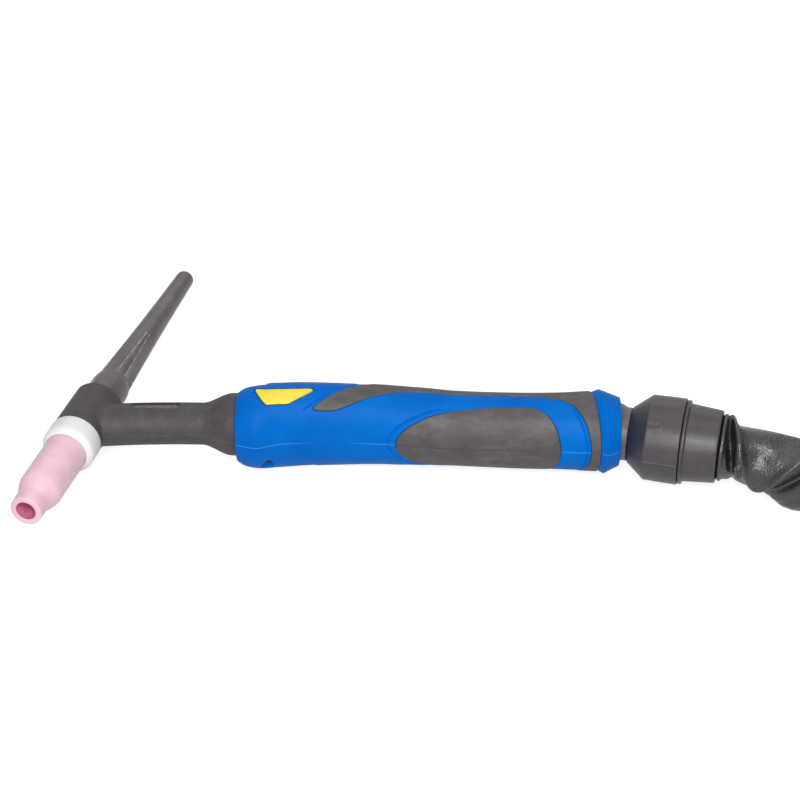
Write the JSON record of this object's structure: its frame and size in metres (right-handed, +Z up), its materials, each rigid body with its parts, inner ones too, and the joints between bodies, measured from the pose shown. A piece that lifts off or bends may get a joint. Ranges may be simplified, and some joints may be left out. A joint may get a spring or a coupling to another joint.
{
  "type": "tig torch",
  "caption": "Gas-cooled hand welding torch: angled head with ceramic nozzle and long back cap, soft-grip handle with trigger, ball knuckle, and a coiled leather-sheathed cable",
  "frame": {"origin": "On the electrode axis, in the middle of the torch head", "axes": "+X along the handle towards the cable, +Y towards the back cap, +Z up; the torch lies on its side and the table is at z = -0.0224 m"},
  "size_m": [0.7527, 0.3698, 0.0607],
  "materials": {
    "alumina": "fired pink alumina, smooth and slightly glossy",
    "ptfe": "white PTFE, waxy",
    "brass": "turned brass",
    "copper": "drawn copper",
    "black_rubber": "matt moulded rubber",
    "cap_plastic": "dark purple-brown moulded phenolic, semi-gloss",
    "blue_plastic": "blue nylon with a fine satin grain",
    "soft_grip": "matt overmoulded elastomer",
    "yellow_plate": "plain yellow plate",
    "dark_plastic": "dark grey moulded nylon",
    "switch_plastic": "black nylon",
    "steel": "zinc-plated steel",
    "seat_plastic": "natural acetal",
    "cable_rubber": "smooth black rubber jacket",
    "leather": "black pebbled leather, slightly glossy"
  },
  "bodies": {
    "cable": {"knuckle_housing": "dark_plastic", "cable_sleeve": "dark_plastic", "swivel_clip": "steel", "power_cable_rear": "cable_rubber", "leather_sheath": "leather", "sheath_coil": "leather", "connector_boot": "cable_rubber", "current_plug": "brass"},
    "ball": {"swivel_ball": "dark_plastic"},
    "seat": {"ball_seat": "seat_plastic"},
    "handle": {"handle_shell_upper": "blue_plastic", "handle_shell_lower": "blue_plastic", "soft_grip_upper": "soft_grip", "soft_grip_lower": "soft_grip", "palm_grip_upper": "soft_grip", "palm_grip_lower": "soft_grip", "rear_collar": "blue_plastic", "name_plate": "yellow_plate", "switch_panel": "dark_plastic", "microswitch": "switch_plastic", "trigger_spring": "steel", "handle_screws": "steel", "cable_fitting": "brass", "power_cable_front": "cable_rubber", "torch_body_core": "brass", "torch_body_cover": "black_rubber", "cup_insulator": "ptfe", "collet_body": "brass", "collet": "copper"},
    "cap_thread": {"back_cap_oring": "black_rubber"},
    "cap": {"back_cap": "cap_plastic"},
    "trigger": {"trigger_button": "switch_plastic"},
    "nozzle": {"gas_nozzle": "alumina"}
  },
  "joints": [
    {"name": "cable_swivel", "type": "hinge", "parent": "cable", "child": "ball", "pos_m": [0.254, 0, 0], "axis": [0.9781, -0.2079, 0], "range_deg": [-180, 180]},
    {"name": "knuckle_tilt", "type": "hinge", "parent": "ball", "child": "seat", "pos_m": [0.254, 0, 0], "axis": [0, 0, 1], "range_deg": [-28, 4]},
    {"name": "handle_spin", "type": "hinge", "parent": "seat", "child": "handle", "pos_m": [0.254, 0, 0], "axis": [1, 0, 0], "range_deg": [-180, 180]},
    {"name": "cap_advance", "type": "slide", "parent": "handle", "child": "cap_thread", "axis": [0.225, 0.9744, 0], "range_m": [0, 0.00374]},
    {"name": "cap_turn", "type": "hinge", "parent": "cap_thread", "child": "cap", "pos_m": [0, 0, 0], "axis": [0.225, 0.9744, 0], "range_deg": [0, 1080]},
    {"name": "trigger_press", "type": "slide", "parent": "handle", "child": "trigger", "axis": [0, -1, 0], "range_m": [0, 0.0014], "stiffness_N_per_m": 500, "springref_m": -0.002, "deforming": ["trigger_spring"]},
    {"name": "nozzle_draw_off", "type": "slide", "parent": "handle", "child": "nozzle", "axis": [-0.225, -0.9744, 0], "range_m": [0, 0.048]}
  ],
  "couplings": [
    {"joint": "cap_turn", "follows": "cap_advance", "rad_per_m": 5026.5}
  ]
}
